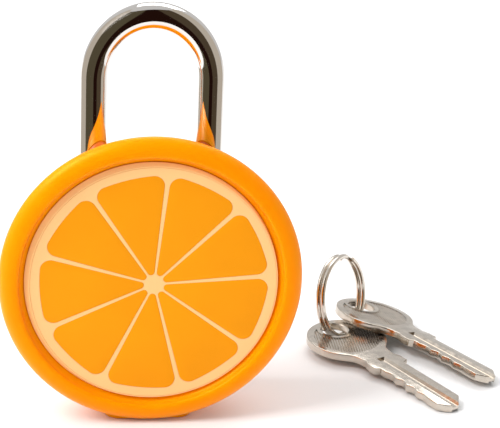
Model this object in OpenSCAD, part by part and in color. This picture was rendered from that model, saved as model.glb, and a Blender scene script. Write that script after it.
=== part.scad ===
// Novelty padlock shaped like a slice of orange, with its two keys on a split ring.
// +Z is up, the face looks along -Y, and the origin is the centre of the flat foot.

/* [Body] */
// Outside diameter of the round body
body_d = 70; // [69:0.5:72]
// Depth of the body from the rim's crest to the flat back
body_depth = 25.4; // [25:0.1:27]
// Gap between the lowest point of the round rim and the surface
rim_lift = 0.3; // [0.2:0.1:0.6]
// Thickness of the plastic shells
wall = 2.3; // [2:0.1:2.4]
// How much the body narrows for each millimetre towards the back
taper = 0.384; // [0.36:0.004:0.39]

/* [Face] */
// Diameter of the cream face disc
disc_d = 58.4; // [57:0.2:58.8]
// How far the disc stands above the floor of its pocket
disc_rise = 1.2; // [1:0.1:1.5]
// Number of segments in the slice
segments = 9; // [7:1:11]
// Angle of the first strip of pith between two segments
pith_angle = 84; // [0:1:120]
// Width of the pith ring outside the segments
pith_ring = 2.7; // [2.6:0.1:3.4]

/* [Shackle] */
// Diameter of the shackle rod
rod_d = 6.2; // [6:0.1:6.2]
// Distance from the middle of the body to the middle of each leg
leg_x = 13.3; // [13.2:0.1:13.4]
// Height of the bend's spring line above the foot
spring_line = 82.2; // [78:0.2:90]
// Lift of the shackle when the lock opens
shackle_lift = 14; // [13:0.5:14]

/* [Cylinder] */
// Radius of the turning plug
plug_r = 5; // [4.9:0.05:5]
// Distance between neighbouring pins
pin_pitch = 4; // [3.8:0.1:4]
// Number of pins
pin_count = 4; // [3:1:4]

/* [Keys] */
// Diameter of a key's bow
bow_d = 20.6; // [20:0.2:20.8]
// Thickness of a key
key_t = 1.9; // [1.8:0.05:1.9]
// Length from the middle of the bow to the tip
key_reach = 41.9; // [38:0.5:44]
// Outside diameter of the split ring
ring_d = 22; // [21.9:0.1:22.1]
// Diameter of the ring's wire
wire_d = 1.3; // [1.26:0.02:1.32]

/* [Hidden] */
$fn = 96;
eps = 0.01;

// The body is described by radius r and height h above the shackle's plane, towards the face.
rim_r = body_d / 2;
body_z = rim_r + rim_lift;
crest_h = 12.9;
widest_h = 10.1;
crest_w = 3.6;
back_h = crest_h - body_depth;
back_round = 2.4;
parting_h = 6;
front_wall_h = 8.5;
pocket_h = 10.3;
pocket_r = disc_d / 2 + 0.5;
pad_t = 0.2;
face_h = pocket_h + disc_rise;
inlay_t = 0.4;
face_shift = [0.5, -0.33];
face_r = disc_d / 2 - 0.55;
lip_h = 1.5;

// The foot is a flat block around the lower end of the lock case.
foot_x = 10.3;
foot_front = -9.9;
foot_back = 10.3;
foot_top = 12.5;
foot_corner = 3.5;

// The lock case: a wide upper block for the legs and a neck for the cylinder.
rod_r = rod_d / 2;
leg_gap = 0.1;
case_x = 17.2;
case_front = -6;
case_back = 4.6;
case_low = 23.5;
case_top = 57.5;
case_corner = 3;
cover_t = 1.4;
neck_x = 8.5;
neck_front = -8.2;
neck_back = 8.3;
neck_low = 0.6;
neck_top = 25.5;

// The short leg ends inside the case and clears the body when the shackle is lifted.
short_end = 51.2;
long_end = 29;
long_seat = 23.8;
latch_low = 53.3;
latch_t = 2.8;
latch_half = 3.5;
latch_travel = 3;
latch_tip = 9.6;
notch_depth_x = 12.8;
stop_z = 46.5;
stop_x = -10.7;
stop_r = 1;

// Cylinder, on an axis a little in front of the legs.
plug_y = -1.5;
plug_gap = 0.05;
plug_low = 0.9;
plug_top = 22;
flange_r = 5.7;
flange_h = 1.2;
tail_r = 2.6;
clip_r = 5.8;
clip_t = 0.7;
pin_r = 1.2;
pin_gap = 0.05;
pin_z0 = 6;
cam_r = 3.5;
cam_pin_r = 1.2;
cam_throw = latch_travel / sqrt(2);

// Screws that hold the two shells, at [x, z].
screw_spots = [[20.6, 41], [-20.6, 41], [14, 19.6], [-14, 19.6]];
post_r = 2.9;
screw_head_r = 2.5;
screw_r = 1.2;

// Keys and ring where they lie.
hole_back = 5;
key_hole_r = 3.5;
blade_half = 3.8;
shoulder_s = 17.4;
ring_mid = (ring_d - wire_d) / 2;
ring_pos = [52.85, 36.72, 11];
ring_turn = 51.6;
ring_lean = 11;
key_a_pos = [53.2, 27, 1.9];
key_a_turn = -60;
key_a_tilt = 2.4;
key_b_pos = [62.1, 38.6, 3.5];
key_b_turn = -55;
key_b_tilt = 3.5;
key_b_roll = 11;

function unit(v) = v / norm(v);
function cone_r(h) = rim_r - taper * (widest_h - h);
function arc(c, a, b, t0, t1, n) =
    [for (i = [0:n]) let (t = t0 + (t1 - t0) * i / n) [c[0] + a * cos(t), c[1] + b * sin(t)]];

// A corner at p1 between p0 and p2, rounded with radius r.
function corner(p0, p1, p2, r, n) =
    let (u = unit(p0 - p1), v = unit(p2 - p1), half = acos(u * v) / 2,
        c = p1 + unit(u + v) * r / sin(half),
        a = p1 + u * r / tan(half) - c, b = p1 + v * r / tan(half) - c,
        t0 = atan2(a[1], a[0]), turn = atan2(a[0] * b[1] - a[1] * b[0], a * b))
    [for (i = [0:n]) c + r * [cos(t0 + turn * i / n), sin(t0 + turn * i / n)]];

function rounded(pts, radii, n) =
    let (k = len(pts))
    [for (i = [0:k - 1]) each corner(pts[(i + k - 1) % k], pts[i], pts[(i + 1) % k], radii[i], n)];

// Places a shape drawn about +Z on the body's axis, with +Z towards the face.
module on_axis() {
    translate([0, 0, body_z]) rotate([90, 0, 0]) children();
}

// A wire coil along +Z, from z = 0 to z = length.
module coil(length, mean_r, wire_r, turns, steps = 14, sides = 8) {
    n = turns * steps;
    rise = length - 2 * wire_r;
    ring = [for (i = [0:n]) for (k = [0:sides - 1])
        let (t = 360 * i / steps, s = 360 * k / sides, r = mean_r + wire_r * cos(s))
        [r * cos(t), r * sin(t), wire_r + rise * i / n + wire_r * sin(s)]];
    sides_of = [for (i = [0:n - 1]) for (k = [0:sides - 1])
        let (a = i * sides + k, b = i * sides + (k + 1) % sides)
        [a, a + sides, b + sides, b]];
    first = [for (k = [0:sides - 1]) k];
    last = [for (k = [0:sides - 1]) n * sides + sides - 1 - k];
    polyhedron(points = ring, faces = concat([first], sides_of, [last]), convexity = 10);
}

module body_outline() {
    rotate_extrude() polygon(concat(
        [[0, back_h]],
        arc([cone_r(back_h) - back_round - 0.6, back_h + back_round], back_round + 0.6,
            back_round, -90, -14, 8),
        arc([rim_r - crest_w, widest_h], crest_w, crest_h - widest_h, 0, 90, 14),
        [[0, crest_h]]));
}

module foot_block() {
    r = foot_corner;
    translate([-foot_x + r, foot_front, 0])
        cube([2 * (foot_x - r), foot_back - foot_front, foot_top]);
    translate([-foot_x, foot_front + r, 0])
        cube([2 * foot_x, foot_back - foot_front - 2 * r, foot_top]);
    for (x = [r - foot_x, foot_x - r], y = [foot_front + r, foot_back - r])
        translate([x, y, 0]) cylinder(r = r, h = foot_top, $fn = 48);
}

module neck_room() {
    translate([-neck_x - 0.1, neck_front - 0.15, -1])
        cube([2 * neck_x + 0.2, neck_back - neck_front + 0.3, neck_top + 1.3]);
}

module shell_space(low_h, high_h) {
    rotate_extrude() polygon([[0, low_h], [cone_r(low_h) - wall, low_h],
        [cone_r(high_h) - wall, high_h], [0, high_h]]);
}

module half_space(front) {
    y = front ? -60 - parting_h : -parting_h;
    translate([-60, y, -10]) cube([120, 60, 120]);
}

module front_shell() color([1, 0.55, 0.02]) {
    difference() {
        intersection() {
            union() {
                on_axis() body_outline();
                foot_block();
            }
            half_space(true);
        }
        on_axis() shell_space(parting_h - 1, front_wall_h);
        on_axis() rotate_extrude() polygon(concat(
            [[0, pocket_h], [pocket_r, pocket_h]],
            arc([rim_r - crest_w, crest_h - 0.7], 0.9, 0.7 + eps, 180, 90, 6),
            [[0, crest_h + 1]]));
        neck_room();
    }
    for (p = screw_spots) difference() {
        translate([p[0], -2, p[1]]) rotate([90, 0, 0])
            cylinder(r = post_r, h = front_wall_h - 2 + eps, $fn = 32);
        translate([p[0], -1, p[1]]) rotate([90, 0, 0])
            cylinder(r = screw_r + 0.05, h = front_wall_h - 1.5, $fn = 32);
    }
    for (s = [-1, 1]) translate([s * 6.5 - 0.8, -front_wall_h - eps, 30])
        cube([1.6, front_wall_h + case_front, 24]);
}

module rear_shell() color([1, 0.52, 0.02]) {
    seat_y = -back_h - 1.7;
    difference() {
        union() {
            difference() {
                intersection() {
                    union() {
                        on_axis() body_outline();
                        foot_block();
                    }
                    half_space(false);
                }
                on_axis() shell_space(back_h + 2.2, parting_h + 1);
            }
            for (p = screw_spots) translate([p[0], -back_h - 1.5, p[1]]) rotate([90, 0, 0])
                cylinder(r = post_r, h = -back_h - 1.5 + 1.9, $fn = 32);
            for (s = [-1, 1]) translate([s * 9 - 0.8, case_back + cover_t + 0.75, 30])
                cube([1.6, -back_h - 2 - case_back - cover_t - 0.75, 24]);
            on_axis() difference() {
                translate([0, 0, parting_h - 3]) cylinder(r = cone_r(parting_h - 3) - wall + 0.4,
                    h = 3 + lip_h);
                translate([0, 0, parting_h - 4]) cylinder(r = cone_r(parting_h) - wall - 1.4, h = 8);
                rotate_extrude() polygon([[cone_r(parting_h) - wall - 0.15, parting_h],
                    [60, parting_h], [60, 20], [cone_r(parting_h) - wall - 0.15, 20]]);
            }
        }
        neck_room();
        for (p = screw_spots) translate([p[0], 0, p[1]]) rotate([-90, 0, 0]) {
            translate([0, 0, -3]) cylinder(r = screw_r + 0.3, h = 20, $fn = 32);
            translate([0, 0, seat_y]) cylinder(r = screw_head_r + 0.15, h = 5, $fn = 32);
        }
        for (s = [-1, 1]) translate([s * leg_x, 0, 50])
            cylinder(r = rod_r + 1.75, h = 20);
    }
}

module segment_shape(gap) {
    reach = disc_d / 2 - pith_ring;
    half = 180 / segments - 0.8;
    side = reach - 1.1;
    pts = [[0.6, 0], [side, -(side - 0.6) * tan(half)], [reach, 0], [side, (side - 0.6) * tan(half)]];
    offset(delta = -gap) polygon(rounded(pts, [0.85, 2.4, 40, 2.4], 8));
}

module all_segments(gap, t) {
    translate(face_shift) for (i = [0:segments - 1]) rotate(pith_angle + (i + 0.5) * 360 / segments)
        linear_extrude(t) segment_shape(gap);
}

module face_disc() color([1, 0.83, 0.57]) on_axis() difference() {
    union() {
        translate([0, 0, pocket_h + pad_t]) cylinder(r = disc_d / 2, h = 0.5, $fn = 128);
        translate([face_shift[0], face_shift[1], pocket_h + pad_t]) cylinder(r = face_r,
            h = face_h - pocket_h - pad_t, $fn = 128);
    }
    translate([0, 0, face_h - inlay_t]) all_segments(0, inlay_t + 1);
}

module segment_inlays() color([0.97, 0.63, 0.09]) on_axis()
    translate([0, 0, face_h - inlay_t]) all_segments(0.02, inlay_t);

module disc_adhesive_pad() color([0.9, 0.9, 0.88]) on_axis()
    translate([0, 0, pocket_h]) cylinder(r = disc_d / 2 - 2, h = pad_t);

module shell_screws() color([0.7, 0.7, 0.72]) {
    head_y = -back_h - 1.7;
    for (p = screw_spots) translate([p[0], 0, p[1]]) rotate([-90, 0, 0]) difference() {
        union() {
            translate([0, 0, -7]) cylinder(r = screw_r, h = head_y + 7.1, $fn = 32);
            translate([0, 0, head_y]) cylinder(r = screw_head_r, h = 1.4, $fn = 32);
        }
        for (a = [0, 90]) rotate(a) translate([-1.4, -0.3, head_y + 0.6]) cube([2.8, 0.6, 1]);
    }
}

module shackle_collars() color([0.85, 0.45, 0.05]) intersection() {
    for (s = [-1, 1]) translate([s * leg_x, 0, case_top + 0.05]) difference() {
        cylinder(r = rod_r + 1.7, h = 12);
        translate([0, 0, -1]) cylinder(r = rod_r + leg_gap, h = 14);
    }
    on_axis() body_outline();
}

module case_plate(y0, t, low) {
    translate([0, y0 + t, 0]) rotate([90, 0, 0]) linear_extrude(t) polygon([
        [-case_x, low], [case_x, low], [case_x, case_top - case_corner],
        [case_x - case_corner, case_top], [case_corner - case_x, case_top],
        [-case_x, case_top - case_corner]]);
}

rivet_spots = [[6.4, 29.5], [-6.4, 29.5], [6.4, 46], [-6.4, 44]];
rivet_r = 1.05;

module lock_case() color([0.72, 0.7, 0.66]) difference() {
    union() {
        case_plate(case_front, case_back - case_front, case_low);
        translate([-neck_x, neck_front, neck_low])
            cube([2 * neck_x, neck_back - neck_front, neck_top - neck_low]);
    }
    translate([-leg_x, 0, long_seat]) cylinder(r = rod_r + leg_gap, h = 40);
    translate([leg_x, 0, short_end - 0.3]) cylinder(r = rod_r + leg_gap, h = 12);
    translate([-9.4, -latch_half - 0.1, latch_low - 0.1])
        cube([latch_tip + latch_travel + 9.6, case_back + latch_half + 1, latch_t + 0.2]);
    translate([0, plug_y, neck_low - 1]) {
        cylinder(r = plug_r + plug_gap, h = 24);
        cylinder(r = flange_r + 0.05, h = plug_low + flange_h + 0.05 - neck_low + 1);
        cylinder(r = cam_r + 0.2, h = latch_low - neck_low + 1);
    }
    translate([0, plug_y, plug_top + 0.15]) cylinder(r = clip_r + 0.2, h = 1.5);
    translate([-clip_r - 0.2, plug_y, plug_top + 0.15]) cube([2 * clip_r + 0.4, 12, 1.5]);
    for (i = [0:pin_count - 1]) translate([0, plug_y, pin_z0 + i * pin_pitch])
        rotate([-90, 0, 0]) cylinder(r = pin_r + pin_gap, h = 12, $fn = 32);
    for (p = rivet_spots) translate([p[0], case_back + 1, p[1]]) rotate([90, 0, 0])
        cylinder(r = rivet_r + 0.03, h = case_back - case_front + 2, $fn = 32);
    translate([stop_x, -case_front, stop_z]) rotate([90, 0, 0])
        cylinder(r = stop_r + 0.02, h = 12, $fn = 32);
}

module case_cover() color([0.78, 0.77, 0.75]) difference() {
    case_plate(case_back, cover_t, neck_top + 0.1);
    for (p = rivet_spots) translate([p[0], case_back + 3, p[1]]) rotate([90, 0, 0])
        cylinder(r = rivet_r + 0.03, h = 4, $fn = 32);
}

module case_rivets() color([0.8, 0.8, 0.82])
    for (p = rivet_spots) translate([p[0], case_back + cover_t, p[1]]) {
        rotate([90, 0, 0]) cylinder(r = rivet_r, h = case_back + cover_t - case_front - 0.1, $fn = 32);
        rotate([-90, 0, 0]) cylinder(r = 2, h = 0.6, $fn = 32);
    }

module shackle() color([0.82, 0.8, 0.78]) {
    translate([0, 0, spring_line]) rotate([90, 0, 0]) rotate_extrude(angle = 180)
        translate([leg_x, 0]) circle(r = rod_r);
    difference() {
        union() {
            translate([leg_x, 0, short_end]) cylinder(r = rod_r, h = spring_line - short_end);
            translate([-leg_x, 0, long_end]) cylinder(r = rod_r, h = spring_line - long_end);
        }
        translate([0, -5, latch_low - 0.2]) cube([notch_depth_x, 10, latch_t + 0.4]);
        translate([stop_x - stop_r - 0.1, -5, stop_z - shackle_lift - stop_r - 0.2])
            cube([5, 10, shackle_lift + 2 * stop_r + 0.4]);
    }
}

module shackle_spring() color([0.6, 0.6, 0.62])
    translate([-leg_x, 0, long_seat + 0.05]) coil(long_end - long_seat - 0.1, 2.2, 0.35, 5);

module shackle_stop_pin() color([0.65, 0.65, 0.67])
    translate([stop_x, case_back - 0.1, stop_z]) rotate([90, 0, 0])
        cylinder(r = stop_r, h = case_back - case_front - 0.2, $fn = 32);

module plug() color([0.82, 0.68, 0.36]) translate([0, plug_y, 0]) difference() {
    union() {
        translate([0, 0, plug_low]) cylinder(r = flange_r, h = flange_h);
        translate([0, 0, plug_low]) cylinder(r = plug_r, h = plug_top - plug_low);
        translate([0, 0, plug_top - 1]) cylinder(r = tail_r, h = 5);
    }
    translate([-1.1, -4.5, plug_low - 1]) cube([2.2, 7.6, plug_top - plug_low]);
    for (i = [0:pin_count - 1]) translate([0, 1, pin_z0 + i * pin_pitch])
        rotate([-90, 0, 0]) cylinder(r = pin_r + pin_gap, h = 6, $fn = 32);
    translate([0, 0, plug_top + 0.2]) difference() {
        cylinder(r = tail_r + 1, h = clip_t + 0.1);
        translate([0, 0, -1]) cylinder(r = 2, h = 3);
    }
    translate([-0.8, -5, plug_top + 2.2]) cube([1.6, 10, 5]);
}

module plug_clip() color([0.5, 0.5, 0.52]) translate([0, plug_y, plug_top + 0.25]) difference() {
    cylinder(r = clip_r, h = clip_t);
    translate([0, 0, -1]) cylinder(r = 2.05, h = 3);
    translate([-1.5, -clip_r - 1, -1]) cube([3, clip_r + 1, 3]);
}

module cam_spindle() color([0.75, 0.74, 0.7]) translate([0, plug_y, 0]) {
    translate([-0.75, -2.3, plug_top + 2.3]) cube([1.5, 4.6, 2]);
    translate([0, 0, plug_top + 4.1]) cylinder(r = 2.4, h = latch_low - plug_top - 6.8);
    translate([0, 0, latch_low - 2.9]) cylinder(r = cam_r, h = 2.2);
    rotate(135) translate([cam_throw, 0, latch_low - 1]) cylinder(r = cam_pin_r, h = 3.4);
}

key_cuts = [0.9, 0.2, 0.7, 0.4];

module key_pins() color([0.85, 0.72, 0.4])
    for (i = [0:pin_count - 1]) translate([0, key_cuts[i] - 0.6, pin_z0 + i * pin_pitch])
        rotate([-90, 0, 0]) cylinder(r = pin_r, h = 3.3 - key_cuts[i] + 0.6, $fn = 32);

module driver_pins() color([0.7, 0.7, 0.72])
    for (i = [0:pin_count - 1]) translate([0, 3.62, pin_z0 + i * pin_pitch])
        rotate([-90, 0, 0]) cylinder(r = pin_r, h = 1.7, $fn = 32);

module pin_springs() color([0.6, 0.6, 0.62])
    for (i = [0:pin_count - 1]) translate([0, 5.37, pin_z0 + i * pin_pitch])
        rotate([-90, 0, 0]) coil(2, 0.8, 0.16, 4, 10, 6);

module chamber_caps() color([0.8, 0.66, 0.35])
    for (i = [0:pin_count - 1]) translate([0, 7.42, pin_z0 + i * pin_pitch])
        rotate([-90, 0, 0]) cylinder(r = pin_r + 0.03, h = 0.83, $fn = 32);

module latch_bolt() color([0.68, 0.68, 0.7]) difference() {
    pin_at = plug_y + cam_throw / sqrt(2);
    translate([-5, -latch_half, latch_low]) cube([5 + latch_tip, 2 * latch_half, latch_t]);
    translate([-latch_travel / 2 - cam_pin_r - 0.15, pin_at - cam_pin_r - 0.2, latch_low - 1])
        cube([2 * cam_pin_r + 0.3, 2 * cam_pin_r + 1.1, latch_t + 2]);
    for (s = [-1, 1]) translate([latch_tip, s * (latch_half + 0.9), latch_low - 1])
        rotate(45) translate([-1.2, -1.2, 0]) cube([2.4, 2.4, latch_t + 2]);
}

module latch_spring() color([0.6, 0.6, 0.62])
    translate([-9.3, 0, latch_low + latch_t / 2]) rotate([0, 90, 0]) coil(4.2, 0.95, 0.2, 5, 10, 6);

module split_ring() color([0.75, 0.72, 0.68]) place_ring() rotate_extrude() {
    for (s = [-1, 1]) translate([ring_mid, s * (wire_d / 2 - 0.01)]) circle(d = wire_d, $fn = 24);
}

module place_ring() {
    translate(ring_pos) rotate([0, 0, ring_turn]) rotate([-ring_lean, 0, 0]) rotate([90, 0, 0])
        children();
}

// A key lying flat, bow centre at the origin, blade along +X.
module key_blank(cuts) {
    tip = key_reach;
    cut_s = [for (i = [0:len(cuts) - 1]) shoulder_s + 4.5 + i * pin_pitch];
    edge = [for (i = [len(cuts) - 1:-1:0]) each [
        [cut_s[i] + 1.9, -blade_half], [cut_s[i] + 0.5, -blade_half + cuts[i]],
        [cut_s[i] - 0.5, -blade_half + cuts[i]], [cut_s[i] - 1.9, -blade_half]]];
    difference() {
        union() {
            cylinder(d = bow_d, h = key_t);
            linear_extrude(key_t) polygon(concat(
                [[4, 8], [10.5, 4.8], [13.5, 4.6], [shoulder_s - 2.6, 5.4], [shoulder_s, 5.4],
                    [shoulder_s + 0.6, blade_half], [tip - 3.2, blade_half], [tip, 0.9],
                    [tip, -1.2], [tip - 2.4, -blade_half]],
                edge,
                [[shoulder_s + 0.6, -blade_half], [shoulder_s, -5], [shoulder_s - 2.6, -5],
                    [13.5, -4.2], [10.5, -4.8], [4, -8]]));
        }
        translate([-hole_back, 0, -1]) cylinder(r = key_hole_r, h = 4);
        for (z = [-1, key_t - 0.5]) translate([shoulder_s - 4, -1.1, z]) cube([40, 2.6, 1.5]);
    }
}

module key_a() color([0.78, 0.74, 0.68]) translate(key_a_pos) rotate([0, 0, key_a_turn])
    rotate([0, key_a_tilt, 0]) key_blank([0.5, 0.8, 0.6, 0.35]);

module key_b() color([0.76, 0.72, 0.67]) translate(key_b_pos) rotate([0, 0, key_b_turn])
    rotate([0, key_b_tilt, 0]) rotate([-key_b_roll, 0, 0]) key_blank([0.5, 0.8, 0.6, 0.35]);

front_shell();
rear_shell();
face_disc();
segment_inlays();
disc_adhesive_pad();
shell_screws();
shackle_collars();
lock_case();
case_cover();
case_rivets();
shackle();
shackle_spring();
shackle_stop_pin();
plug();
plug_clip();
cam_spindle();
key_pins();
driver_pins();
pin_springs();
chamber_caps();
latch_bolt();
latch_spring();
split_ring();
key_a();
key_b();
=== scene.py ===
"""Citrus-slice padlock with its two keys on a split ring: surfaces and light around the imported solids."""

import math

import bmesh
import bpy
from mathutils import Matrix, Vector


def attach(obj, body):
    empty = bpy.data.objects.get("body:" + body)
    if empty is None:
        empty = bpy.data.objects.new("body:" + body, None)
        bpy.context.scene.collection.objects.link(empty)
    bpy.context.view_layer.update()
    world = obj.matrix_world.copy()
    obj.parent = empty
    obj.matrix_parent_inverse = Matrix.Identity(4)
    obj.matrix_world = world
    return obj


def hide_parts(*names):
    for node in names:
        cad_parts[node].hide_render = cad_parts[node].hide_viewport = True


MM = 0.001

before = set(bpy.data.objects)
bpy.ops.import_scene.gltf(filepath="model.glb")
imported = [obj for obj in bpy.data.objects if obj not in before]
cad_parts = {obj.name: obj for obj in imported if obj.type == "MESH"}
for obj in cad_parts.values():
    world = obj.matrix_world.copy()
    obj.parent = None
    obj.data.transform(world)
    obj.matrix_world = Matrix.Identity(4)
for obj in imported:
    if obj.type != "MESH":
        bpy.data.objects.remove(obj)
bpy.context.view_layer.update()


# ---------------------------------------------------------------- shapes

def link(name, mesh):
    obj = bpy.data.objects.new(name, mesh)
    bpy.context.scene.collection.objects.link(obj)
    return obj


def solid(name, verts, faces, place=None, sharp=35):
    """A mesh object from points in millimetres.

    place is applied to the points, so the object stays at the origin.
    """
    mesh = bpy.data.meshes.new(name)
    mesh.from_pydata([Vector(v) * MM for v in verts], [], faces)
    obj = link(name, mesh)
    tidy(mesh, sharp)
    if place is not None:
        mesh.transform(place)
    return obj


def tidy(mesh, sharp=35):
    bm = bmesh.new()
    bm.from_mesh(mesh)
    bmesh.ops.remove_doubles(bm, verts=bm.verts, dist=1e-7)
    bmesh.ops.recalc_face_normals(bm, faces=bm.faces)
    bm.to_mesh(mesh)
    bm.free()
    shade(mesh, sharp)


def shade(mesh, sharp=35):
    """Smooth shading, broken at edges sharper than this angle in degrees."""
    mesh.polygons.foreach_set("use_smooth", [True] * len(mesh.polygons))
    mesh.set_sharp_from_angle(angle=math.radians(sharp))
    mesh.update()


def moved(x=0, y=0, z=0):
    return Matrix.Translation(Vector((x, y, z)) * MM)


def turned(degrees, axis):
    return Matrix.Rotation(math.radians(degrees), 4, axis)


def lathe(name, profile, steps=256, place=None, sharp=35, shift=(0, 0)):
    """Turns a closed outline of [radius, height] points about +Z.

    A third number is a point's share of the shift.
    """
    verts, rows, faces = [], [], []
    for r, h, *share in profile:
        x, y = (s * (share[0] if share else 0) for s in shift)
        if r < 1e-6:
            rows.append([len(verts)] * steps)
            verts.append((x, y, h))
        else:
            rows.append(list(range(len(verts), len(verts) + steps)))
            verts += [(x + r * math.cos(2 * math.pi * k / steps),
                       y + r * math.sin(2 * math.pi * k / steps), h) for k in range(steps)]
    for i, row in enumerate(rows):
        after = rows[(i + 1) % len(rows)]
        if row[0] == row[1] and after[0] == after[1]:
            continue
        for k in range(steps):
            n = (k + 1) % steps
            face = [row[k], row[n], after[n], after[k]]
            face = [v for j, v in enumerate(face) if v not in face[:j]]
            faces.append(face)
    return solid(name, verts, faces, place, sharp)


def prism(name, outline, low, high, place=None, sharp=35):
    """A straight-sided block over a counter-clockwise outline of [x, y] points."""
    n = len(outline)
    verts = [(x, y, low) for x, y in outline] + [(x, y, high) for x, y in outline]
    faces = [list(range(n))[::-1], list(range(n, 2 * n))]
    faces += [[k, (k + 1) % n, n + (k + 1) % n, n + k] for k in range(n)]
    return solid(name, verts, faces, place, sharp)


def block(name, low, high, edge=0.0, steps=3):
    """A box between two corners, its edges rounded by edge."""
    x0, y0, z0 = low
    x1, y1, z1 = high
    obj = prism(name, [(x0, y0), (x1, y0), (x1, y1), (x0, y1)], z0, z1)
    if edge:
        bm = bmesh.new()
        bm.from_mesh(obj.data)
        bmesh.ops.bevel(bm, geom=bm.edges[:], offset=edge * MM, segments=steps, profile=0.5,
                        affect="EDGES")
        bm.to_mesh(obj.data)
        bm.free()
        shade(obj.data)
    return obj


def arc(cx, cy, a, b, start, end, steps):
    return [(cx + a * math.cos(math.radians(start + (end - start) * k / steps)),
             cy + b * math.sin(math.radians(start + (end - start) * k / steps)))
            for k in range(steps + 1)]


def rounded(points, radii, steps=8):
    """A closed outline with each corner rounded by its own radius."""
    out = []
    count = len(points)
    for k in range(count):
        p0, p1, p2 = (Vector(points[(k + d) % count]) for d in (-1, 0, 1))
        u, v = (p0 - p1).normalized(), (p2 - p1).normalized()
        half = math.acos(max(-1, min(1, u.dot(v)))) / 2
        centre = p1 + (u + v).normalized() * radii[k] / math.sin(half)
        a = p1 + u * radii[k] / math.tan(half) - centre
        b = p1 + v * radii[k] / math.tan(half) - centre
        start = math.atan2(a.y, a.x)
        turn = math.atan2(a.x * b.y - a.y * b.x, a.dot(b))
        out += [tuple(centre + radii[k] * Vector((math.cos(start + turn * i / steps),
                                                  math.sin(start + turn * i / steps))))
                for i in range(steps + 1)]
    return out


def settle(obj, sharp=35):
    """Applies the modifiers and keeps the result as the object's own mesh."""
    bpy.context.view_layer.update()
    graph = bpy.context.evaluated_depsgraph_get()
    mesh = bpy.data.meshes.new_from_object(obj.evaluated_get(graph))
    old = obj.data
    obj.modifiers.clear()
    obj.data = mesh
    bpy.data.meshes.remove(old)
    mesh.name = obj.name
    shade(mesh, sharp)
    return obj


def combine(obj, others, how, sharp=35):
    """Joins, cuts or intersects obj with the others, which are used up."""
    for other in others:
        step = obj.modifiers.new("combine", "BOOLEAN")
        step.operation, step.solver, step.object = how, "EXACT", other
    settle(obj, sharp)
    for other in others:
        bpy.data.objects.remove(other)
    return obj


def merge(name, objs):
    """One object from several, with their meshes side by side."""
    bm = bmesh.new()
    for obj in objs:
        bm.from_mesh(obj.data)
    mesh = bpy.data.meshes.new(name)
    bm.to_mesh(mesh)
    bm.free()
    for material in objs[0].data.materials:
        mesh.materials.append(material)
    for obj in objs:
        bpy.data.objects.remove(obj)
    out = link(name, mesh)
    shade(mesh)
    return out


# ---------------------------------------------------------------- geometry nodes

def tree(name, inputs):
    """An empty node tree with a geometry socket each way and these named inputs."""
    group = bpy.data.node_groups.new(name, "GeometryNodeTree")
    group.interface.new_socket("Geometry", in_out="INPUT", socket_type="NodeSocketGeometry")
    for label, kind in inputs:
        group.interface.new_socket(label, in_out="INPUT", socket_type=kind)
    group.interface.new_socket("Geometry", in_out="OUTPUT", socket_type="NodeSocketGeometry")
    return group, group.nodes.new("NodeGroupInput"), group.nodes.new("NodeGroupOutput")


def grown(obj, group, values, sharp=35):
    """Runs a node tree on obj with these input values and keeps the result."""
    step = obj.modifiers.new("grow", "NODES")
    step.node_group = group
    for item in group.interface.items_tree:
        if item.in_out == "INPUT" and item.name in values:
            step[item.identifier] = values[item.name]
    return settle(obj, sharp)


def finished(group, source, out):
    """Ends a tree in Realize Instances and Set Material."""
    real = group.nodes.new("GeometryNodeRealizeInstances")
    paint = group.nodes.new("GeometryNodeSetMaterial")
    group.links.new(source, real.inputs[0])
    group.links.new(real.outputs[0], paint.inputs[0])
    group.links.new(paint.outputs[0], out.inputs[0])
    return paint


def tube_tree():
    """A round wire or rod swept along the edges of the mesh."""
    group, start, end = tree("swept_rod", [("Radius", "NodeSocketFloat"), ("Sides", "NodeSocketInt"),
                                           ("Material", "NodeSocketMaterial")])
    path = group.nodes.new("GeometryNodeMeshToCurve")
    ring = group.nodes.new("GeometryNodeCurvePrimitiveCircle")
    sweep = group.nodes.new("GeometryNodeCurveToMesh")
    group.links.new(start.outputs["Geometry"], path.inputs[0])
    group.links.new(start.outputs["Radius"], ring.inputs["Radius"])
    group.links.new(start.outputs["Sides"], ring.inputs["Resolution"])
    group.links.new(path.outputs[0], sweep.inputs["Curve"])
    group.links.new(ring.outputs[0], sweep.inputs["Profile Curve"])
    sweep.inputs["Fill Caps"].default_value = True
    paint = finished(group, sweep.outputs[0], end)
    group.links.new(start.outputs["Material"], paint.inputs["Material"])
    return group


def wheel_tree():
    """Copies of the mesh turned evenly about +Z."""
    group, start, end = tree("round_a_centre", [("Count", "NodeSocketInt"), ("Start", "NodeSocketFloat"),
                                                ("Material", "NodeSocketMaterial")])
    points = group.nodes.new("GeometryNodePoints")
    index = group.nodes.new("GeometryNodeInputIndex")
    step = group.nodes.new("ShaderNodeMath")
    step.operation = "DIVIDE"
    step.inputs[0].default_value = 2 * math.pi
    angle = group.nodes.new("ShaderNodeMath")
    angle.operation = "MULTIPLY_ADD"
    turn = group.nodes.new("ShaderNodeCombineXYZ")
    place = group.nodes.new("GeometryNodeInstanceOnPoints")
    group.links.new(start.outputs["Count"], points.inputs["Count"])
    group.links.new(start.outputs["Count"], step.inputs[1])
    group.links.new(index.outputs[0], angle.inputs[0])
    group.links.new(step.outputs[0], angle.inputs[1])
    group.links.new(start.outputs["Start"], angle.inputs[2])
    group.links.new(angle.outputs[0], turn.inputs["Z"])
    group.links.new(points.outputs[0], place.inputs["Points"])
    group.links.new(start.outputs["Geometry"], place.inputs["Instance"])
    group.links.new(turn.outputs[0], place.inputs["Rotation"])
    paint = finished(group, place.outputs[0], end)
    group.links.new(start.outputs["Material"], paint.inputs["Material"])
    return group


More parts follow.
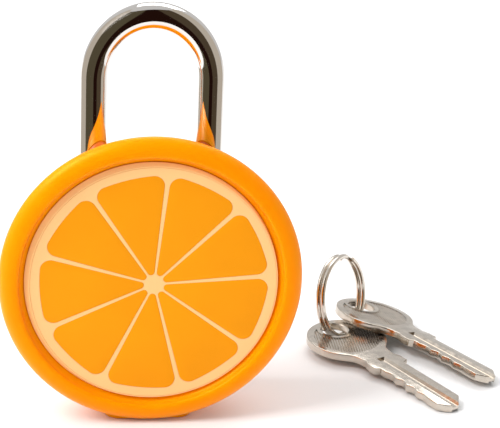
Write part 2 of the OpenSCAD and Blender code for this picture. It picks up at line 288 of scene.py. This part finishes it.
def row_tree():
    """Copies of the mesh in a row along +X."""
    group, start, end = tree("in_a_row", [("Count", "NodeSocketInt"), ("Pitch", "NodeSocketFloat"),
                                          ("Material", "NodeSocketMaterial")])
    points = group.nodes.new("GeometryNodeMeshLine")
    offset = group.nodes.new("ShaderNodeCombineXYZ")
    place = group.nodes.new("GeometryNodeInstanceOnPoints")
    group.links.new(start.outputs["Count"], points.inputs["Count"])
    group.links.new(start.outputs["Pitch"], offset.inputs["X"])
    group.links.new(offset.outputs[0], points.inputs["Offset"])
    group.links.new(points.outputs[0], place.inputs["Points"])
    group.links.new(start.outputs["Geometry"], place.inputs["Instance"])
    paint = finished(group, place.outputs[0], end)
    group.links.new(start.outputs["Material"], paint.inputs["Material"])
    return group


def along(name, points, radius, sides, material, group):
    """A rod with this centre line, in millimetres."""
    mesh = bpy.data.meshes.new(name)
    mesh.from_pydata([Vector(p) * MM for p in points],
                     [(k, k + 1) for k in range(len(points) - 1)], [])
    rod = grown(link(name, mesh), group, {"Radius": radius * MM, "Sides": sides, "Material": material})
    tidy(rod.data)
    return rod


# ---------------------------------------------------------------- materials

def finish(name, colour, rough, metal=0.0, tone=0.05, tone_size=9.0, rough_spread=0.06,
           rough_size=3.0, grain=0.0, grain_size=0.4, stretch=(1, 1, 1), **settings):
    """A surface with patchy tone, patchy gloss and fine grain. Sizes are in millimetres."""
    material = bpy.data.materials.new(name)
    material.use_nodes = True
    nodes, links = material.node_tree.nodes, material.node_tree.links
    shader = nodes["Principled BSDF"]
    place = nodes.new("ShaderNodeTexCoord")
    scale = nodes.new("ShaderNodeMapping")
    scale.inputs["Scale"].default_value = stretch
    links.new(place.outputs["Object"], scale.inputs["Vector"])

    def cloud(size, detail=3):
        noise = nodes.new("ShaderNodeTexNoise")
        noise.inputs["Scale"].default_value = 1 / (size * MM)
        noise.inputs["Detail"].default_value = detail
        links.new(scale.outputs[0], noise.inputs["Vector"])
        return noise.outputs["Fac"]

    ramp = nodes.new("ShaderNodeValToRGB")
    low, high = ramp.color_ramp.elements
    low.position, high.position = 0.3, 0.7
    low.color = (*[c * (1 - tone) for c in colour], 1)
    high.color = (*[min(1, c * (1 + tone)) for c in colour], 1)
    links.new(cloud(tone_size), ramp.inputs["Fac"])
    links.new(ramp.outputs["Color"], shader.inputs["Base Color"])

    gloss = nodes.new("ShaderNodeMapRange")
    gloss.inputs["From Min"].default_value = 0.3
    gloss.inputs["From Max"].default_value = 0.7
    gloss.inputs["To Min"].default_value = max(0.0, rough - rough_spread)
    gloss.inputs["To Max"].default_value = rough + rough_spread
    links.new(cloud(rough_size, 5), gloss.inputs["Value"])
    links.new(gloss.outputs[0], shader.inputs["Roughness"])

    if grain:
        bump = nodes.new("ShaderNodeBump")
        bump.inputs["Strength"].default_value = 1.0
        bump.inputs["Distance"].default_value = grain * MM
        links.new(cloud(grain_size, 2), bump.inputs["Height"])
        links.new(bump.outputs[0], shader.inputs["Normal"])
    shader.inputs["Metallic"].default_value = metal
    for key, value in settings.items():
        shader.inputs[key.replace("_", " ")].default_value = value
    return material


def srgb(r, g, b):
    """A colour from everyday 0 to 255 values."""
    return tuple(c / 12.92 if c <= 0.04045 else ((c + 0.055) / 1.055) ** 2.4
                 for c in (r / 255, g / 255, b / 255))


AMBER = (1.0, 0.5, 0.04, 1)
orange = finish("orange_plastic", srgb(255, 145, 0), 0.34, tone=0.03, tone_size=14, rough_spread=0.05,
                grain=0.003, grain_size=1.6, Subsurface_Weight=0.5, Subsurface_Scale=0.004,
                Subsurface_Radius=(1.0, 0.35, 0.05), IOR=1.49, Specular_Tint=AMBER)
orange_rear = finish("orange_plastic_rear", srgb(255, 142, 0), 0.36, tone=0.03, tone_size=14,
                     grain=0.003, grain_size=1.6, Subsurface_Weight=0.5, Subsurface_Scale=0.004,
                     Subsurface_Radius=(1.0, 0.35, 0.05), IOR=1.49, Specular_Tint=AMBER)
cream = finish("cream_plastic", srgb(249, 196, 130), 0.4, tone=0.02, tone_size=8, grain=0.002,
               grain_size=0.8, Specular_Tint=(1.0, 0.8, 0.5, 1))
inlay = finish("orange_inlay", srgb(240, 150, 18), 0.38, tone=0.02, tone_size=10, grain=0.002,
               grain_size=0.9, Specular_Tint=AMBER)
foam = finish("foam_tape", (0.82, 0.82, 0.78), 0.85, grain=0.05, grain_size=0.3)
zinc = finish("zinc_screw", (0.62, 0.62, 0.6), 0.3, 1.0, tone=0.12, tone_size=1, grain=0.01, grain_size=0.3)
collar = finish("orange_collar", srgb(232, 110, 4), 0.4, tone=0.05, grain=0.01, grain_size=0.6)
casting = finish("zinc_casting", (0.5, 0.49, 0.46), 0.5, 1.0, tone=0.12, tone_size=4, grain=0.05,
                 grain_size=0.5)
cover = finish("steel_cover", (0.6, 0.59, 0.57), 0.35, 1.0, tone=0.08, stretch=(1, 1, 12), grain=0.006)
rivet = finish("steel_rivet", (0.62, 0.61, 0.6), 0.32, 1.0, tone=0.1, tone_size=1.5, grain=0.01)
chrome = finish("polished_shackle", (0.72, 0.69, 0.66), 0.07, 1.0, tone=0.03, tone_size=6,
                rough_spread=0.03, rough_size=2, grain=0.003, grain_size=1.2, stretch=(1, 1, 0.25))
spring = finish("spring_wire", (0.5, 0.5, 0.5), 0.3, 1.0, tone=0.1, tone_size=1)
pin_steel = finish("steel_pin", (0.6, 0.6, 0.6), 0.25, 1.0, tone=0.08, tone_size=2)
brass = finish("brass_plug", (0.78, 0.56, 0.22), 0.3, 1.0, tone=0.1, tone_size=3, grain=0.006)
clip_steel = finish("spring_steel_clip", (0.32, 0.32, 0.33), 0.38, 1.0, tone=0.12, tone_size=2)
spindle = finish("steel_spindle", (0.55, 0.54, 0.5), 0.35, 1.0, tone=0.1, tone_size=2, grain=0.01)
brass_pin = finish("brass_pins", (0.8, 0.6, 0.26), 0.25, 1.0, tone=0.08, tone_size=1)
drivers = finish("steel_drivers", (0.6, 0.6, 0.62), 0.25, 1.0, tone=0.08, tone_size=1)
pin_wire = finish("pin_spring_wire", (0.5, 0.5, 0.5), 0.3, 1.0, tone=0.08, tone_size=1)
brass_cap = finish("brass_caps", (0.74, 0.54, 0.22), 0.35, 1.0, tone=0.1, tone_size=1)
latch_steel = finish("steel_latch", (0.52, 0.52, 0.52), 0.38, 1.0, tone=0.1, tone_size=3, grain=0.01)
latch_wire = finish("latch_spring_wire", (0.5, 0.5, 0.5), 0.3, 1.0, tone=0.08, tone_size=1)
nickel_ring = finish("nickel_ring", (0.66, 0.60, 0.53), 0.16, 1.0, tone=0.08, tone_size=2,
                     rough_spread=0.05, grain=0.003, grain_size=0.5)
nickel_key = finish("nickel_key", (0.6, 0.54, 0.47), 0.2, 1.0, tone=0.10, tone_size=2.5,
                    rough_spread=0.06, rough_size=1.0, grain=0.0015, grain_size=0.35)
nickel_key_b = finish("nickel_key_b", (0.58, 0.52, 0.45), 0.21, 1.0, tone=0.10, tone_size=2.2,
                      rough_spread=0.06, rough_size=1.1, grain=0.0015, grain_size=0.38)

INSIDE = {
    "disc_adhesive_pad": foam, "shell_screws": zinc, "shackle_collars": collar, "lock_case": casting,
    "case_cover": cover, "case_rivets": rivet, "shackle_spring": spring, "shackle_stop_pin": pin_steel,
    "plug": brass, "plug_clip": clip_steel, "cam_spindle": spindle, "key_pins": brass_pin,
    "driver_pins": drivers, "pin_springs": pin_wire, "chamber_caps": brass_cap,
    "latch_bolt": latch_steel, "latch_spring": latch_wire,
}
for node, material in INSIDE.items():
    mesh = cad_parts[node].data
    mesh.materials.clear()
    mesh.materials.append(material)


def done(obj, body, material, slot, *nodes):
    """Puts a finished piece on its body, in place of the plain solids it stands for."""
    if material is not None:
        obj.data.materials.clear()
        obj.data.materials.append(material)
        obj.data.polygons.foreach_set("material_index", [0] * len(obj.data.polygons))
    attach(obj, body)
    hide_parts(*nodes)
    return obj


# ---------------------------------------------------------------- body

# Height is measured on the body's axis towards the face, with 0 in the plane of the shackle.
RIM_R = 35.0
BODY_Z = 35.3
WIDEST_H = 10.1
CREST_R = 31.4
CREST_H = 12.9
BACK_H = -12.5
TAPER = 0.384
WALL = 2.3
PARTING_H = 6.0
POCKET_H = 10.3
# The rim's inner wall runs down in a small fillet to this radius, just outside the disc.
FILLET_R = 29.3
FRONT_WALL_H = 8.5
SEAM = 0.22
ON_AXIS = moved(0, 0, BODY_Z) @ turned(90, "X")
SCREWS = [(20.6, 41), (-20.6, 41), (14, 19.6), (-14, 19.6)]
LEG_X = 13.3


def cone_r(h):
    return RIM_R - TAPER * (WIDEST_H - h)


def upright(radius, low_y, high_y, x, z, name):
    """A cylinder along +Y."""
    return lathe(name, [(0, low_y), (radius, low_y), (radius, high_y), (0, high_y)], 48,
                 moved(x, 0, z) @ turned(-90, "X"))


def foot(name):
    """The block the lock stands on, with round corners and a softened lower edge."""
    outline = rounded([(-10.3, -9.9), (10.3, -9.9), (10.3, 10.3), (-10.3, 10.3)], [3.5] * 4, 10)
    obj = prism(name, outline, 0, 12.5)
    bm = bmesh.new()
    bm.from_mesh(obj.data)
    low = [e for e in bm.edges if all(v.co.z < 1e-6 for v in e.verts)]
    bmesh.ops.bevel(bm, geom=low, offset=0.3 * MM, segments=2, profile=0.5, affect="EDGES")
    bm.to_mesh(obj.data)
    bm.free()
    shade(obj.data)
    return obj


shell_r = cone_r(PARTING_H)
front = lathe("front_shell_skin", (
    [(shell_r - WALL, PARTING_H), (shell_r - SEAM, PARTING_H), (shell_r, PARTING_H + SEAM)]
    + [(cone_r(h), h) for h in (7.2, 8.4, 9.4)]
    + arc(RIM_R - 3.6, WIDEST_H, 3.6, CREST_H - WIDEST_H, 0, 90, 18)
    + arc(CREST_R, CREST_H - 0.7, 0.9, 0.7, 90, 180, 8)[1:]
    + [(FILLET_R + 0.8, POCKET_H + 1.2), (FILLET_R + 0.45, POCKET_H + 0.75),
       (FILLET_R + 0.1, POCKET_H + 0.5), (FILLET_R, POCKET_H + 0.3), (FILLET_R, POCKET_H)]
    + [(0, POCKET_H), (0, FRONT_WALL_H), (cone_r(FRONT_WALL_H) - WALL, FRONT_WALL_H)]),
    place=ON_AXIS)
foot_front = foot("foot_front")
cut_front = block("foot_front_cut", (-12, -6, -3), (12, 12, 14))
combine(foot_front, [cut_front], "DIFFERENCE")
posts = [upright(2.9, -8.7, -2, x, z, "post") for x, z in SCREWS]
combine(front, [foot_front, *posts], "UNION")
holes = [upright(1.25, -7.0, -1, x, z, "hole") for x, z in SCREWS]
combine(front, [block("neck_cut", (-8.6, -8.35, -1), (8.6, 8.45, 26.8)), *holes], "DIFFERENCE")
done(front, "lock_body", orange, "orange_plastic", "front_shell")

rear = lathe("rear_shell_skin", (
    [(0, BACK_H)]
    + arc(cone_r(BACK_H) - 3.0, BACK_H + 2.4, 3.0, 2.4, -90, -14, 14)
    + [(cone_r(h), h) for h in (-8, -4, 0, 3)]
    + [(shell_r, PARTING_H - SEAM), (shell_r - SEAM, PARTING_H), (shell_r - WALL - 0.15, PARTING_H),
       (shell_r - WALL - 0.15, PARTING_H + 1.3), (shell_r - WALL - 0.35, PARTING_H + 1.5),
       (shell_r - WALL - 1.4, PARTING_H + 1.5), (shell_r - WALL - 1.4, 3.0),
       (cone_r(3.0) - WALL, 3.0), (cone_r(BACK_H + 2.2) - WALL, BACK_H + 2.2), (0, BACK_H + 2.2)]),
    place=ON_AXIS)
foot_rear = foot("foot_rear")
combine(foot_rear, [block("foot_rear_cut", (-12, -12, -3), (12, -6, 14))], "DIFFERENCE")
posts = [upright(2.9, -1.9, 11.5, x, z, "post") for x, z in SCREWS]
combine(rear, [foot_rear, *posts], "UNION")
cuts = [block("neck_cut", (-8.6, -8.35, -1), (8.6, 8.45, 26.8))]
cuts += [upright(1.5, -3, 12, x, z, "hole") for x, z in SCREWS]
cuts += [upright(2.65, 10.8, 14, x, z, "seat") for x, z in SCREWS]
cuts += [lathe("leg_hole", [(0, 50), (4.85, 50), (4.85, 71), (0, 71)], 64, moved(s * LEG_X, 0, 0))
         for s in (-1, 1)]
combine(rear, cuts, "DIFFERENCE")
done(rear, "lock_body", orange_rear, "orange_plastic_rear", "rear_shell")

# ---------------------------------------------------------------- face

DISC_R = 29.2
FACE_H = 11.5
PAD_H = 10.5
SEGMENTS = 9
PITH_ANGLE = 84
INLAY_T = 0.4
HAIRLINE = 0.02
FACE_R = DISC_R - 0.55
FACE_SHIFT = (0.5, -0.33)


def segment_outline(gap):
    """One segment of the fruit, pointing along +X, with its sides drawn in by gap."""
    reach = DISC_R - 2.7
    side = reach - 1.1
    half = math.tan(math.radians(180 / SEGMENTS - 0.8))
    points = [(0.6, 0), (side, -(side - 0.6) * half), (reach, 0), (side, (side - 0.6) * half)]
    outline = rounded(points, [0.85, 2.4, 40, 2.4], 12)
    count = len(outline)
    inner = []
    for k in range(count):
        along_it = Vector(outline[(k + 1) % count]) - Vector(outline[k - 1])
        inward = Vector((-along_it.y, along_it.x)).normalized()
        inner.append(tuple(Vector(outline[k]) + inward * gap))
    return inner


def segment(name, gap, low, high, edge):
    """A segment-shaped plate with a softened upper edge."""
    layers = [(gap, low), (gap, high - edge)]
    layers += [(gap + edge * (1 - math.cos(t)), high - edge * (1 - math.sin(t)))
               for t in (math.pi / 6, math.pi / 3, math.pi / 2)] if edge else [(gap, high)]
    outlines = [[(x, y, h) for x, y in segment_outline(g)] for g, h in layers]
    count = len(outlines[0])
    verts = [v for ring in outlines for v in ring]
    faces = [list(range(count))[::-1], list(range(len(verts) - count, len(verts)))]
    for j in range(len(outlines) - 1):
        faces += [[j * count + k, j * count + (k + 1) % count,
                   (j + 1) * count + (k + 1) % count, (j + 1) * count + k] for k in range(count)]
    return solid(name, verts, faces)


wheel = wheel_tree()
turns = {"Count": SEGMENTS, "Start": math.radians(PITH_ANGLE + 180 / SEGMENTS)}
edge = FACE_R - 0.2
disc = lathe("face_disc_skin", (
    [(0, PAD_H), (DISC_R - 0.1, PAD_H), (DISC_R, PAD_H + 0.1), (DISC_R, PAD_H + 0.4),
     (DISC_R - 0.05, PAD_H + 0.5, 0.1), (FACE_R + 0.05, FACE_H - 0.1, 0.9), (FACE_R - 0.02, FACE_H, 1),
     (edge, FACE_H, 1), (edge - 0.04, FACE_H - 0.12, 1), (edge - 0.1, FACE_H - 0.12, 1),
     (edge - 0.14, FACE_H, 1), (0, FACE_H, 1)]), shift=FACE_SHIFT, sharp=25)
pockets = grown(segment("pockets", 0, FACE_H - INLAY_T, FACE_H + 1, 0), wheel,
                {**turns, "Material": cream})
pockets.data.transform(moved(*FACE_SHIFT))
combine(disc, [pockets], "DIFFERENCE", sharp=25)
disc.data.transform(ON_AXIS)
done(disc, "lock_body", cream, "cream_plastic", "face_disc")

slices = grown(segment("slices", HAIRLINE, FACE_H - INLAY_T, FACE_H, 0.1), wheel,
               {**turns, "Material": inlay})
slices.name = "segment_inlays_skin"
slices.data.transform(ON_AXIS @ moved(*FACE_SHIFT))
done(slices, "lock_body", inlay, "orange_inlay", "segment_inlays")

# ---------------------------------------------------------------- shackle

BEND_Z = 80.7
BEND_RISE = 14.8
LONG_END = 29.0
SHORT_END = 51.2
tube = tube_tree()
path = [(-LEG_X, 0, LONG_END + 0.4), (-LEG_X, 0, 60), (-LEG_X, 0, BEND_Z - 4)]
path += [(x, 0, z) for x, z in arc(0, BEND_Z, LEG_X, BEND_RISE, 180, 0, 96)]
path += [(LEG_X, 0, BEND_Z - 4), (LEG_X, 0, 60), (LEG_X, 0, SHORT_END + 0.4)]
shackle = along("shackle_rod", path, 3.1, 64, chrome, tube)
ends = [lathe("leg_end", [(0, low), (2.8, low), (3.1, low + 0.4), (3.1, low + 1), (0, low + 1)], 64,
              moved(x, 0, 0)) for x, low in ((-LEG_X, LONG_END), (LEG_X, SHORT_END))]
combine(shackle, ends, "UNION")
combine(shackle, [block("notch", (0, -5, 53.1), (12.8, 5, 56.3), 0.15),
                  block("stop_groove", (-11.8, -5, 31.3), (-6.8, 5, 47.7), 0.15)], "DIFFERENCE")
done(shackle, "shackle", chrome, "polished_shackle", "shackle")

# ---------------------------------------------------------------- ring and keys

RING_PLACE = moved(52.85, 36.72, 11) @ turned(51.6, "Z") @ turned(-11, "X") @ turned(90, "X")
WIRE_D = 1.3
RING_D = 22.0
RING_MID = (RING_D - WIRE_D) / 2
WIRE_START = 70
WIRE_TURN = 700
STEP_OVER = 34
END_CURL = 0.6
END_CURL_TURN = 14


def ring_path(start, turn):
    """A wire that runs nearly twice round, from a curled-in end, and steps across half way.

    start and turn are in degrees.
    """
    points = []
    steps = 240
    for k in range(steps + 1):
        t = turn * k / steps
        angle = math.radians(start + t)
        across = (t - turn / 2) / STEP_OVER
        side = max(-1.0, min(1.0, across))
        side = side * (1.5 - 0.5 * side * side)
        mid = RING_MID - END_CURL * max(0.0, 1 - t / END_CURL_TURN) ** 2
        points.append((mid * math.cos(angle), mid * math.sin(angle),
                       side * (WIRE_D / 2 + 0.01)))
    return points


ring = along("split_ring_wire", ring_path(WIRE_START, WIRE_TURN), WIRE_D / 2, 20, nickel_ring, tube)
ring.data.transform(RING_PLACE)
done(ring, "key_ring", nickel_ring, "nickel_ring", "split_ring")

KEY_T = 1.9
TIP = 41.9
SHOULDER = 17.4
BLADE = 3.8
HOLE_X = -5.0
CUTS = [0.5, 0.8, 0.6, 0.35]
CUT_PITCH = 4.0
FIRST_CUT = 4.5
BOW_R = 10.3
HOLE_R = 3.5
HOLE_FLARE = 0.25
FIELD_R = 8.5
FIELD_KEEP = 4.7
FIELD_DEPTH = 0.28
GROOVE_DEPTH = 0.6
RIB_COUNT = 26
RIB_PITCH = 0.66
RIB_TURN = 60


def key_outline():
    near = []
    for k in range(len(CUTS) - 1, -1, -1):
        s = SHOULDER + FIRST_CUT + CUT_PITCH * k
        near += [(s + 1.9, -BLADE), (s + 0.55, -BLADE + CUTS[k]), (s - 0.55, -BLADE + CUTS[k]),
                 (s - 1.9, -BLADE)]
    bow = arc(0, 0, BOW_R, BOW_R, 38, 322, 84)
    lower = [(9.3, -5.3), (10.8, -4.75), (13.0, -4.35), (SHOULDER - 2.6, -5.0), (SHOULDER, -5.0),
             (SHOULDER + 0.6, -BLADE)]
    tip = [(TIP - 2.6, -BLADE), (TIP - 0.7, -2.2), (TIP, -1.2), (TIP, 0.9), (TIP - 0.7, 1.5),
           (TIP - 3.1, BLADE - 0.12), (TIP - 3.6, BLADE)]
    upper = [(SHOULDER + 0.6, BLADE), (SHOULDER, 5.4), (SHOULDER - 2.6, 5.4), (13.0, 4.65),
             (10.8, 4.8), (9.3, 5.3)]
    return bow + lower + near[::-1] + tip + upper


def crescent(name, low, high, inset):
    """The bow's sunk field: inside the border and clear of the hole."""
    field = lathe(name, [(0, low), (FIELD_R - inset, low), (FIELD_R - inset, high), (0, high)], 96)
    rim = FIELD_KEEP + inset
    keep = lathe("keep", [(0, low - 1), (rim, low - 1), (rim, high + 1), (0, high + 1)], 64,
                 moved(HOLE_X, 0, 0))
    return combine(field, [keep], "DIFFERENCE")


def key(name, place, material, ribs):
    """A key lying flat with its bow's centre at place, grooved and with a ribbed field on both sides."""
    blank = prism("blank", key_outline(), 0, KEY_T)
    bm = bmesh.new()
    bm.from_mesh(blank.data)
    rims = [e for e in bm.edges if abs(e.verts[0].co.z - e.verts[1].co.z) < 1e-6]
    bmesh.ops.bevel(bm, geom=rims, offset=0.2 * MM, segments=3, profile=0.5, affect="EDGES")
    bm.to_mesh(blank.data)
    bm.free()
    hole = lathe("hole", [(0, -1), (HOLE_R + 1.2, -1), (HOLE_R + HOLE_FLARE, 0), (HOLE_R, HOLE_FLARE),
                          (HOLE_R, KEY_T - HOLE_FLARE), (HOLE_R + HOLE_FLARE, KEY_T),
                          (HOLE_R + 1.2, KEY_T + 1), (0, KEY_T + 1)], 96, moved(HOLE_X, 0, 0))
    grooves = []
    for z, up in ((KEY_T, 1), (0, -1)):
        floor_z = z - up * GROOVE_DEPTH
        side = [(-1.35, z + up * 0.3), (-1.15, floor_z), (0.7, floor_z), (1.5, z + up * 0.3)]
        verts = [(x, y, h) for x in (SHOULDER - 4, TIP + 5) for y, h in side]
        faces = [[0, 1, 2, 3], [7, 6, 5, 4]] + [[k, (k + 1) % 4, 4 + (k + 1) % 4, 4 + k]
                                                for k in range(4)]
        grooves.append(solid("groove", verts, faces))
    fields = [crescent("field", KEY_T - FIELD_DEPTH, KEY_T + 1, 0), crescent("field", -1, FIELD_DEPTH, 0)]
    combine(blank, [hole, *grooves, *fields], "DIFFERENCE")
    parts = [blank]
    for low in (KEY_T - FIELD_DEPTH - 0.05, 0.05):
        high = low + FIELD_DEPTH
        section = ((-0.27, low), (0.27, low), (0.07, high), (-0.07, high))
        bar = solid("bar", [(x, y, z) for x, z in section for y in (-9, 9)],
                    [[0, 2, 4, 6], [1, 7, 5, 3], [0, 1, 3, 2], [2, 3, 5, 4], [4, 5, 7, 6], [6, 7, 1, 0]])
        bars = grown(bar, ribs, {"Count": RIB_COUNT, "Pitch": RIB_PITCH * MM, "Material": material})
        middle = (RIB_COUNT - 1) * RIB_PITCH / 2
        bars.data.transform(turned(RIB_TURN, "Z") @ moved(-middle, 0, 0))
        parts.append(combine(bars, [crescent("clip", low - 1, high + 1, 0.12)], "INTERSECT"))
    out = merge(name, parts)
    out.data.transform(place)
    return out


rows = row_tree()
KEY_A = moved(53.2, 27, 1.9) @ turned(-60, "Z") @ turned(2.4, "Y")
KEY_B = moved(62.1, 38.6, 3.5) @ turned(-55, "Z") @ turned(3.5, "Y") @ turned(-11, "X")
done(key("key_a_skin", KEY_A, nickel_key, rows), "key_a", nickel_key, "nickel_key", "key_a")
done(key("key_b_skin", KEY_B, nickel_key_b, rows), "key_b", nickel_key_b, "nickel_key_b", "key_b")

# ---------------------------------------------------------------- floor, light and camera

floor_mesh = bpy.data.meshes.new("floor")
FLOOR_HALF = 6.0
corners = ((-1, -1), (1, -1), (1, 1), (-1, 1))
floor_mesh.from_pydata([(x * FLOOR_HALF, y * FLOOR_HALF, 0) for x, y in corners], [], [(0, 1, 2, 3)])
floor = link("floor", floor_mesh)
floor.data.materials.append(finish("pale_floor", (0.8, 0.8, 0.8), 0.5, tone=0.004, tone_size=60,
                                   Specular_IOR_Level=0.25))

world = bpy.data.worlds.new("studio")
bpy.context.scene.world = world
world.use_nodes = True
world.node_tree.nodes["Background"].inputs["Color"].default_value = (1, 1, 1, 1)
world.node_tree.nodes["Background"].inputs["Strength"].default_value = 0.72


def aimed(obj, place, target):
    obj.location = place
    obj.rotation_euler = (Vector(target) - Vector(place)).to_track_quat("-Z", "Y").to_euler()


def softbox(name, place, target, width, height, power, colour=(1, 1, 1)):
    lamp = bpy.data.lights.new(name, "AREA")
    lamp.shape, lamp.size, lamp.size_y = "RECTANGLE", width, height
    lamp.energy, lamp.color = power, colour
    obj = bpy.data.objects.new(name, lamp)
    bpy.context.scene.collection.objects.link(obj)
    aimed(obj, place, target)
    return obj


CARD_R = 0.12
CARD_LOW = 0.01
CARD_HIGH = 0.35


def reflected_card(name, start, end, shade_of):
    """A curved upright card round the front that only shows in reflections.

    start and end are angles in degrees from -Y towards +X.
    """
    mesh = bpy.data.meshes.new(name)
    steps = 24
    turns = [math.radians(start + (end - start) * k / steps) for k in range(steps + 1)]
    mesh.from_pydata([(CARD_R * math.sin(t), -CARD_R * math.cos(t), z)
                      for t in turns for z in (CARD_LOW, CARD_HIGH)], [],
                     [(2 * k, 2 * k + 2, 2 * k + 3, 2 * k + 1) for k in range(steps)])
    card = link(name, mesh)
    paint = bpy.data.materials.new(name)
    paint.use_nodes = True
    nodes = paint.node_tree.nodes
    glow = nodes.new("ShaderNodeEmission")
    glow.inputs["Color"].default_value = (*shade_of, 1)
    paint.node_tree.links.new(glow.outputs[0], nodes["Material Output"].inputs["Surface"])
    mesh.materials.append(paint)
    card.visible_camera = card.visible_diffuse = card.visible_shadow = False
    card.visible_transmission = card.visible_volume_scatter = False
    return card


softbox("top_left", (-0.62, -0.16, 0.72), (0, 0, 0.05), 0.55, 0.55, 11)
softbox("top_back", (0.15, 0.5, 0.8), (0.02, 0, 0.03), 0.7, 0.5, 3.5)
reflected_card("dark_left", -72, -12, (0.10, 0.083, 0.05))
reflected_card("dark_middle", -12, 16, (0.018, 0.006, 0.004))
reflected_card("dark_right", 16, 57, (0.085, 0.062, 0.038))
reflected_card("grey_left", -125, -72, (0.6, 0.54, 0.46))
reflected_card("grey_right", 57, 110, (0.6, 0.54, 0.46))

camera = bpy.data.cameras.new("camera")
camera.lens, camera.sensor_width, camera.sensor_fit = 144, 36, "HORIZONTAL"
camera.clip_start = 0.01
viewer = bpy.data.objects.new("camera", camera)
bpy.context.scene.collection.objects.link(viewer)
right, up, back = (Vector((0.99286, -0.11319, 0.03774)), Vector((0.00471, 0.35324, 0.93552)),
                   Vector((-0.11922, -0.92866, 0.35125)))
viewer.matrix_world = Matrix.Translation((-0.0323, -0.4347, 0.2122)) @ Matrix(
    (right, up, back)).transposed().to_4x4()
bpy.context.scene.camera = viewer
bpy.context.scene.view_settings.view_transform = "Standard"
